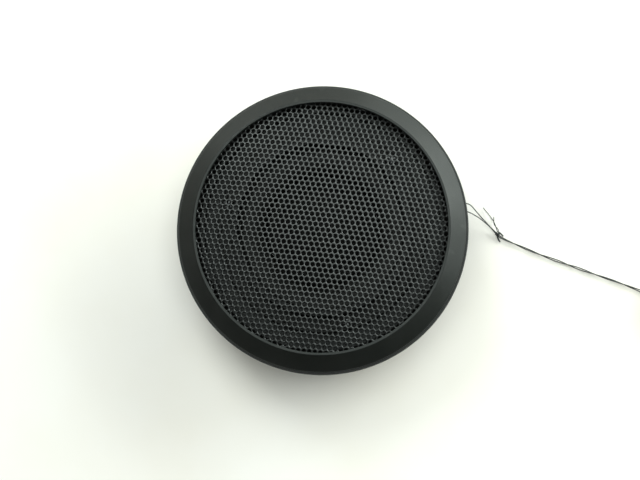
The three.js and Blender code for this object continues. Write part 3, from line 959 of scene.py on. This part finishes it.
def makeGrille(size):
    a = polar(size["rowStep"], size["rowTurn"]).to_2d()
    b = polar(size["columnStep"], size["columnTurn"]).to_2d()
    cell = hexCorners(a, b)
    reach = int(size["rim"] / size["rowStep"] * 1.3)
    points, index, cells = [], {}, []

    def shared(place):
        key = (round(place.x, 3), round(place.y, 3))
        if key not in index:
            index[key] = len(points)
            points.append(place)
        return index[key]

    for i in range(-reach, reach + 1):
        for j in range(-reach, reach + 1):
            centre = a * i + b * j
            if centre.length < size["perforatedTo"]:
                cells.append((centre, [shared(centre + c) for c in cell]))

    # edges used once are the ragged border, which a band of triangles joins to the round rim
    used = {}
    for _, loop in cells:
        for u, v in zip(loop, loop[1:] + loop[:1]):
            used[frozenset((u, v))] = used.get(frozenset((u, v)), 0) + 1
    border = [tuple(edge) for edge, count in used.items() if count == 1]
    rimStart = len(points)
    count = size["rimSides"]
    points += [polar(size["rim"], 360 * k / count).to_2d() for k in range(count)]
    band = bandOf(points, border, rimStart, a, b, size["perforatedTo"])

    verts, faces = [], []
    sheet = len(points)
    for drop in (0, size["thick"]):
        verts += [(p.x, p.y, domeHeight(size, p.x, p.y) - drop) for p in points]
    for loop in band:
        faces.append(loop)
        faces.append([v + sheet for v in reversed(loop)])
    for k in range(count):
        u, v = rimStart + k, rimStart + (k + 1) % count
        faces.append([v, u, u + sheet, v + sheet])
    hole, edge, thick = size["holeRadius"], size["edge"], size["thick"]
    rings = [(hole + edge, 0), (hole, edge), (hole, thick)]
    for centre, loop in cells:
        starts = []
        for radius, drop in rings:
            starts.append(len(verts))
            for c in cell:
                p = centre + c.normalized() * radius
                verts.append((p.x, p.y, domeHeight(size, p.x, p.y) - drop))
        sides = len(cell)
        for k in range(sides):
            n = (k + 1) % sides
            faces.append([loop[k], loop[n], starts[0] + n, starts[0] + k])
            for high, low in zip(starts, starts[1:]):
                faces.append([high + k, high + n, low + n, low + k])
            faces.append([loop[n] + sheet, loop[k] + sheet, starts[-1] + k, starts[-1] + n])
    return meshPiece("grilleSheet", verts, faces, 50)


grilleSheet = dress(makeGrille(grilleSize), grillePaint, "grille")
print("grille made with", len(grilleSheet.data.polygons), "faces")

# the retainer's upper inner corner slopes away, so the outermost holes stay open
retainerSize = {"inner": 36.4, "outer": 38.8, "slopeTo": 37.6, "innerTall": 0.5}


def makeRetainer(size):
    low, high = flangeTop + 0.1, span("grille_retainer")["top"] + 0.2
    corners = [
        (size["inner"], low, 0.1),
        (size["outer"], low, 0.1),
        (size["outer"], high, 0.1),
        (size["slopeTo"], high, 0.1),
        (size["inner"], low + size["innerTall"], 0.1),
    ]
    return spin("grilleRetainer", corners, 192)


# the retainer takes the darker faceplate plastic instead of the moulded plastic: painted shade for the bezel
# lip's shadow over it, seen through the outer holes
dress(makeRetainer(retainerSize), faceplatePlastic, "grille_retainer")


# mounting frame: wall, flange and baffle in one moulding
frameSize = {
    "bore": 34.7,
    "well": 35.2,
    "flangeBottom": 20.0,
    "baffleTop": 19.5,
    "baffleBottom": 17.5,
    "baffleBore": 24.6,
    "leadAngle": 12.0,
    "leadHeight": 7.5,
    "leadHole": 2.4,
    "stakeHole": 1.15,
}
lugSize = {
    "angles": (75, 195, 315),
    "reach": 2.7,
    "top": 16.0,
    "bottom": 13.7,
    "halfWide": 4.5,
    "slitAt": 5.4,
    "slitHalf": 0.5,
    "slitHeights": (9.5, 18.2),
}
# bosses for the two sets of screws: where they stand, their size, and the bore down each
fixings = {
    "cover": {
        "ring": 30.0,
        "angles": (90, 210, 330),
        "boss": 2.8,
        "bossBottom": frameSpan["bottom"],
        "rounded": 0.2,
        "bore": 1.3,
        "boreHeights": (0, 10.5),
        "clearance": 1.5,
    },
    "driver": {
        "ring": 29.0,
        "angles": (45, 165, 285),
        "boss": 2.6,
        "bossBottom": 13.5,
        "rounded": 0.3,
        "bore": 1.1,
        "boreHeights": (14.3, 25),
        "clearance": 1.3,
    },
}


def intoWall(size):
    # turns a piece spun about the axis so that it points out through the wall at the lead
    return about(size["leadAngle"]) @ Matrix.Translation((0, 0, size["leadHeight"])) @ about(90, "Y")


def makeLug(size, angle):
    inner, outer, half = wallRadius - 0.8, wallRadius + size["reach"], size["halfWide"]
    top, low = size["top"], size["bottom"]
    side = [(inner, low), (wallRadius + 0.4, low), (outer, top - 0.9), (outer, top), (inner, top)]
    verts = [(r, y, z) for y in (-half, half) for r, z in side]
    faces = [(0, 1, 2, 3, 4), (9, 8, 7, 6, 5)]
    faces += [(k, k + 5, (k + 1) % 5 + 5, (k + 1) % 5) for k in range(5)]
    return moved(soften(meshPiece("lug", verts, faces), 0.25), about(angle))


def makeSlit(size, angle, side):
    middle, half = side * size["slitAt"], size["slitHalf"]
    bottom, top = size["slitHeights"]
    low, high = (wallRadius - 0.6, middle - half, bottom), (wallRadius + 3, middle + half, top)
    return block("slit", low, high, turn=angle)


def makeFrame(size):
    bottom, top = frameSpan["bottom"], frameSpan["top"]
    outer = frameSpan["radius"]
    corners = [
        (size["bore"], bottom, 0.2),
        (wallRadius, bottom, 0.25),
        (wallRadius, size["flangeBottom"], 0.5),
        (outer, size["flangeBottom"], 0.35),
        (outer, top, 0.35),
        (size["well"], top, 0.2),
        (size["well"], size["baffleTop"], 0.2),
        (size["baffleBore"], size["baffleTop"], 0.25),
        (size["baffleBore"], size["baffleBottom"], 0.2),
        (size["bore"], size["baffleBottom"], 0.6),
    ]
    body = spin("mountingFrame", corners, 240)
    added = [makeLug(lugSize, angle) for angle in lugSize["angles"]]
    cuts = []
    for fixing in fixings.values():
        for angle in fixing["angles"]:
            at = polar(fixing["ring"], angle)
            heights = (fixing["bossBottom"], size["baffleBottom"] + 0.5)
            added.append(rod("boss", fixing["boss"], *heights, at, 40, fixing["rounded"]))
            cuts.append(rod("bore", fixing["bore"], *fixing["boreHeights"], at, 24))
    for angle in bezelSize["stakeAngles"]:
        cuts.append(rod("stakeHole", size["stakeHole"], 15, 25, polar(bezelSize["stakeRing"], angle), 24))
    leadHole = rod("leadHole", size["leadHole"], wallRadius - 4, wallRadius + 3, sides=40)
    cuts.append(moved(leadHole, intoWall(size)))
    cuts += [makeSlit(lugSize, angle, side) for angle in lugSize["angles"] for side in (-1, 1)]
    addTo(body, added)
    return cutFrom(body, cuts)


dress(makeFrame(frameSize), mouldedPlastic, "mounting_frame")
print("mounting frame made")


# panel gasket: a strip of foam laid in a ring, with its two ends butted
gasketSize = {"inner": 37.2, "squashedBy": 0.28, "jointAt": 252, "jointHalf": 0.12}


def makeGasket(size):
    place = span("panel_gasket")
    low, high, half = place["bottom"], place["top"] + size["squashedBy"], size["jointHalf"]
    gasket = ring("panelGasket", size["inner"], place["radius"], low, high, 0.3, 180)
    joint = block("joint", (36, -half, low - 1), (41, half, high + 1), turn=size["jointAt"])
    return cutFrom(gasket, [joint])


dress(makeGasket(gasketSize), foam, "panel_gasket")


# back cover with its screw seats, a round recess and the marks that moulding leaves
coverSize = {
    "thick": 2.4,
    "recess": 20.0,
    "recessDepth": 0.5,
    "seatRadius": 3.0,
    "seatDepth": 1.6,
    "grooves": (22.5, 24.2),
    "grooveWide": 0.5,
    "grooveDeep": 0.25,
    "pinRing": 14.0,
    "pinAngles": (30, 150, 270),
    "pinMark": 2.2,
    "gate": 1.6,
    "lip": 1.2,
}


def makeCover(size):
    outer, thick = coverSpan["radius"], size["thick"]
    spigot = frameSize["bore"] - 0.3
    corners = [
        (0, size["recessDepth"]),
        (size["recess"] - 0.5, size["recessDepth"], 0.2),
        (size["recess"], 0, 0.15),
        (outer, 0, 0.6),
        (outer, thick, 0.2),
        (spigot, thick, 0.1),
        (spigot, coverSpan["top"], 0.3),
        (spigot - size["lip"], coverSpan["top"], 0.2),
        (spigot - size["lip"], thick, 0.2),
        (0, thick),
    ]
    body = spin("backCover", corners, 240, closed=False)
    cuts = []
    for radius in size["grooves"]:
        cuts.append(ring("groove", radius, radius + size["grooveWide"], -1, size["grooveDeep"], 0.1, 240))
    for angle in size["pinAngles"]:
        at = polar(size["pinRing"], angle)
        cuts.append(rod("pinMark", size["pinMark"], -1, size["recessDepth"] + 0.08, at, 40))
    wide, deep = size["seatRadius"], size["seatDepth"]
    seat = [(0, -1), (wide + 0.25, -1), (wide + 0.25, 0), (wide, 0.3), (wide, deep, 0.2), (0, deep)]
    for angle in fixings["cover"]["angles"]:
        at = polar(fixings["cover"]["ring"], angle)
        cuts.append(moved(spin("seat", seat, 48, closed=False), Matrix.Translation(at)))
        cuts.append(rod("hole", fixings["cover"]["clearance"], 0, thick + 2, at, 24))
    cutFrom(body, cuts)
    return addTo(body, [rod("gate", size["gate"], 0.15, 1.0, (0, 0), 40, 0.15)])


dress(makeCover(coverSize), mouldedPlastic, "back_cover")
print("gasket and back cover made")


# screws: a pan head with a cross recess and a thread of ridges
screwSizes = {
    "cover": {"head": 2.5, "tall": 1.1, "shank": 1.2, "long": 9.2, "pitch": 0.9, "from": "bottom", "flip": 0},
    "driver": {"head": 1.8, "tall": 1.3, "shank": 1.0, "long": 8.1, "pitch": 0.8, "from": "top", "flip": 180},
}
screwTurns = (17, 68, 41)


def makeScrew(name, size):
    head, tall, shank, pitch = (size[label] for label in ("head", "tall", "shank", "pitch"))
    root = shank * 0.78
    corners = [(0, 0), (head * 0.55, 0), (head, 0.4, 0.35), (head, tall, 0.1), (shank, tall, 0.1)]
    z = tall + 0.8
    while z < size["long"] - 1.2:
        corners += [(root, z), (shank, z + pitch * 0.45), (root, z + pitch * 0.6)]
        z += pitch
    corners += [(shank * 0.6, size["long"] - 0.7), (0, size["long"])]
    screw = spin(name, corners, 40, closed=False)
    wide, narrow, deep = head * 0.62, head * 0.62 * 0.45, 0.75
    slot = [(-wide, -0.2), (wide, -0.2), (narrow, deep), (-narrow, deep)]
    verts = [(x, y, z) for y in (-0.3, 0.3) for x, z in slot]
    faces = [(0, 1, 2, 3), (7, 6, 5, 4), (0, 4, 5, 1), (1, 5, 6, 2), (2, 6, 7, 3), (3, 7, 4, 0)]
    return cutFrom(screw, [moved(meshPiece("cross", verts, faces), about(turn)) for turn in (0, 90)])


for k, turn in enumerate(screwTurns):
    for kind, size in screwSizes.items():
        angle, headZ = fixings[kind]["angles"][k], span(f"{kind}_screw_1")[size["from"]]
        at = polar(fixings[kind]["ring"], angle, headZ)
        screw = makeScrew(f"{kind}Screw{k + 1}", size)
        moved(screw, Matrix.Translation(at) @ about(size["flip"], "X") @ about(turn))
        dress(screw, screwZinc, f"{kind}_screw_{k + 1}")
print("screws made")


# lead grommet: a rubber spool in the wall
grommetSize = {
    "bore": 0.75,
    "innerFlange": 3.2,
    "waist": 2.35,
    "outerFlange": 3.0,
    "shoulder": 2.7,
    "nose": 1.9,
}


def makeGrommet(size):
    wall = frameSize["bore"]
    inside, outside = wall - 1.1, wallRadius + 1.2
    corners = [
        (size["bore"], inside, 0.2),
        (size["innerFlange"], inside, 0.3),
        (size["innerFlange"], wall - 0.1, 0.15),
        (size["waist"], wall - 0.1),
        (size["waist"], wallRadius + 0.1),
        (size["outerFlange"], wallRadius + 0.1, 0.15),
        (size["shoulder"], wallRadius + 0.55, 0.2),
        (size["nose"], outside, 0.25),
        (size["bore"], outside, 0.2),
    ]
    return moved(spin("leadGrommet", corners, 72), intoWall(frameSize))


dress(makeGrommet(grommetSize), rubber, "lead_grommet")


# driver: faceplate with a horn mouth, foam seal up to the grille
driverSize = {
    "throat": 16.6,
    "mouth": 24.0,
    "throatZ": 18.4,
    "clamp": 18.6,
    "collar": 23.5,
    "seal": (24.9, 26.7),
    "hornSteps": 14,
    "recess": (24.4, 30.0),
    "recessDeep": 0.15,
    "slotFrom": 15.6,
    "slotTo": 24.5,
    "slotHalf": 4.5,
    "slotDeep": 1.3,
}


def makeFaceplate(size):
    bottom, top = plateSpan["bottom"], plateSpan["top"]
    shelf = frameSize["baffleTop"] + 0.15
    horn = []
    for k in range(size["hornSteps"] + 1):
        t = k / size["hornSteps"] * math.pi / 2
        radius = size["mouth"] + (size["throat"] - size["mouth"]) * math.sin(t)
        horn.append((radius, top + (size["throatZ"] - top) * (1 - math.cos(t))))
    corners = [
        (size["throat"], bottom + 0.8),
        (size["clamp"], bottom + 0.8),
        (size["clamp"], bottom),
        (size["collar"], bottom, 0.2),
        (size["collar"], shelf, 0.1),
        (plateSpan["radius"], shelf, 0.2),
        (plateSpan["radius"], top, 0.4),
        (size["recess"][1] + 0.2, top, 0.1),
        (size["recess"][1], top - size["recessDeep"], 0.1),
        (size["recess"][0], top - size["recessDeep"], 0.1),
        *horn,
    ]
    body = spin("driverFaceplate", corners, 192)
    fixing, half = fixings["driver"], size["slotHalf"]
    holes = [rod("hole", fixing["clearance"], 15, 25, polar(fixing["ring"], a), 24) for a in fixing["angles"]]
    low, high = (size["slotFrom"], -half, bottom - 1), (size["slotTo"], half, bottom + size["slotDeep"])
    return cutFrom(body, [*holes, block("leadSlot", low, high, turn=frameSize["leadAngle"])])


def makeSeal(size):
    inner, outer = size["seal"]
    low = plateSpan["top"] - 0.1

    def under(radius):
        return domeHeight(grilleSize, radius, 0) - grilleSize["thick"]

    corners = [
        (inner, low),
        (outer, low),
        (outer, under(outer) + 0.02, 0.35),
        (inner, under(inner) + 0.02, 0.35),
    ]
    return spin("grilleSeal", corners, 144)


dress(makeFaceplate(driverSize), faceplatePlastic, "driver_faceplate")
dress(makeSeal(driverSize), foam, "grille_seal")


# magnet and steel
yokeSize = {"baseTop": 7.4, "pole": 12, "dimple": 2.0}
coilSize = {"turns": 22, "inner": 12.75, "groove": 0.09}


def makeYoke(size):
    place, pole, wide = span("yoke"), size["pole"], size["dimple"]
    bottom = place["bottom"]
    corners = [
        (0, bottom),
        (place["radius"], bottom, 0.6),
        (place["radius"], size["baseTop"], 0.25),
        (pole, size["baseTop"], 0.3),
        (pole, place["top"], 0.3),
        (0, place["top"]),
    ]
    body = spin("yokeSteel", corners, 144, closed=False)
    dimple = [(0, bottom - 1), (wide, bottom - 1), (wide, bottom + 0.2), (0, bottom + 1)]
    return cutFrom(body, [spin("centre", dimple, 48, closed=False)])


def makeCoil(size):
    # one layer of round wire, seen as a stack of turns
    place, inner = span("voice_coil"), size["inner"]
    outer, low, high = place["radius"], place["bottom"], place["top"]
    valley, step = outer - size["groove"], (high - low) / size["turns"]
    corners = [(inner, low + 0.05)]
    for k in range(size["turns"]):
        z = low + k * step
        corners += [(valley, z + 0.02), (outer, z + step * 0.35, 0.05), (outer, z + step * 0.65, 0.05)]
    corners += [(valley, high), (inner, high - 0.05)]
    return spin("voiceCoil", corners, 96, steps=2)


def ringAt(name, node, bore, fillet, past=0.0, sides=144):
    # a ring that fills the place of a node, and goes past its ends where it presses on its neighbours
    place = span(node)
    return ring(name, bore, place["radius"], place["bottom"] - past, place["top"] + past, fillet, sides)


dress(makeYoke(yokeSize), platedSteel, "yoke")
dress(ringAt("magnetRing", "magnet", bore=14.6, fillet=0.45, past=0.25), ferrite, "magnet")
dress(ringAt("topPlate", "top_plate", bore=13.7, fillet=0.25), platedSteel, "top_plate")
feltSpan = span("damping_felt")
feltHeights = (feltSpan["bottom"] - 0.25, feltSpan["top"])
dress(rod("dampingFelt", feltSpan["radius"], *feltHeights, sides=96, fillet=0.35), felt, "damping_felt")
dress(ringAt("surroundRing", "surround_ring", bore=16.75, fillet=0.08), kraft, "surround_ring")


# moving diaphragm
def makeDome():
    place = span("dome")
    radius, low, rise = place["radius"], place["bottom"], place["top"] - place["bottom"]
    curve = (radius**2 + rise**2) / (2 * rise)
    half = math.asin(radius / curve)

    # one skin of the dome, from its edge to its top
    def cap(shift, count=24):
        points = []
        for k in range(count + 1):
            angle, reach = half * (1 - k / count), curve - shift
            points.append((reach * math.sin(angle), low + rise - curve + reach * math.cos(angle)))
        points[-1] = (0, points[-1][1])
        return points

    skirt = [(radius - 0.1, low - 0.25), (radius, low - 0.2)]
    return spin("domeSkin", [*reversed(cap(0.3)), *skirt, *cap(0)], 128, closed=False)


def makeSurround(size):
    # a half roll with a flat foot at each side, the inner one glued to the dome
    middle, base = size["middle"], span("surround")["bottom"]

    def roll(radius, start, end):
        steps = 18
        angles = [math.radians(start + (end - start) * k / steps) for k in range(steps + 1)]
        return [(middle + radius * math.cos(t), base + radius * math.sin(t)) for t in angles]

    outer, inner, thick = size["roll"], size["roll"] - size["thick"], size["thick"]
    corners = [
        (size["footInner"], base),
        *roll(inner, 180, 0),
        (size["footOuter"], base),
        (size["footOuter"], base + thick),
        *[p for p in roll(outer, 0, 180) if p[1] > base + thick],
        (size["footInner"], base + thick),
    ]
    return spin("surroundRoll", corners, 128)


surroundSize = {"middle": 14.7, "roll": 1.75, "thick": 0.25, "footInner": 12.72, "footOuter": 16.57}
dress(makeDome(), silk, "dome", body="diaphragm")
dress(makeSurround(surroundSize), silk, "surround", body="diaphragm")
former = ringAt("coilFormer", "coil_former", bore=12.3, fillet=0.04, sides=128)
dress(former, kraft, "coil_former", body="diaphragm")
dress(makeCoil(coilSize), copper, "voice_coil", body="diaphragm")
print("driver made")

# the CAD pieces that keep their shape
cadFinishes = {
    "terminal_board": phenolic,
    "terminal_plus": brass,
    "terminal_minus": brass,
    "tinsel_lead_plus": copper,
    "tinsel_lead_minus": copper,
    "capacitor": capacitorSleeve,
    "capacitor_wire_in": redWire,
    "capacitor_wire_out": redWire,
    "minus_wire": blackWire,
}
for node, material in cadFinishes.items():
    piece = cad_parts[node]
    piece.data.materials.clear()
    piece.data.materials.append(material)
print("carried-over pieces finished")


# floor and light
floorLook = {"size": 3000.0, "pale": (0.92, 0.86, 0.83), "second": (0.88, 0.81, 0.75)}


def makeFloor(look):
    half = look["size"] / 2
    corners = [(-half, -half, 0), (half, -half, 0), (half, half, 0), (-half, half, 0)]
    floor = meshPiece("floor", corners, [(0, 1, 2, 3)])
    material, tree, shader, place = startMaterial("pale floor", "floor", 0.2)
    shader.inputs["Roughness"].default_value = 0.85
    cloudy = remap(tree, noise(tree, place, 14.0, 4.0), 0.4, 0.7)
    tree.links.new(mixColour(tree, cloudy, look["pale"], look["second"]), shader.inputs["Base Color"])
    floor.data.materials.append(material)


# each lamp is a soft square, aimed at the tweeter
windowColour = (0.9, 1.0, 0.95)
lamps = {
    "overhead": {"azimuth": 90, "height": 85, "away": 1100, "size": 900, "power": 8.2},
    "rightWindow": {"azimuth": 30, "height": 18, "away": 900, "size": 500, "power": 7.8},
    "besideWindow": {"azimuth": 0, "height": 18, "away": 900, "size": 500, "power": 3.3},
    "farWindow": {"azimuth": 60, "height": 18, "away": 900, "size": 500, "power": 4.5},
    "lowLeft": {"azimuth": 125, "height": 18, "away": 900, "size": 500, "power": 1.6},
    "highLeft": {"azimuth": 120, "height": 45, "away": 900, "size": 400, "power": 3.4},
}
roomLight = {"colour": (0.95, 0.97, 1.0), "strength": 0.03}


def makeLamps():
    for name, lamp in lamps.items():
        data = bpy.data.lights.new(name, "AREA")
        data.shape = "SQUARE"
        data.size = lamp["size"] * mm
        data.energy = lamp["power"]
        data.color = windowColour
        light = bpy.data.objects.new(name, data)
        level = lamp["away"] * math.cos(math.radians(lamp["height"]))
        above = lamp["away"] * math.sin(math.radians(lamp["height"]))
        light.location = polar(level, lamp["azimuth"], above) * mm
        light.rotation_euler = (-light.location).to_track_quat("-Z", "Y").to_euler()
        bpy.context.scene.collection.objects.link(light)
    world = bpy.data.worlds.new("room")
    bpy.context.scene.world = world
    world.use_nodes = True
    world.node_tree.nodes["Background"].inputs["Color"].default_value = (*roomLight["colour"], 1)
    world.node_tree.nodes["Background"].inputs["Strength"].default_value = roomLight["strength"]
    bpy.context.scene.view_settings.view_transform = "Standard"


makeFloor(floorLook)
makeLamps()
print("floor and light made")
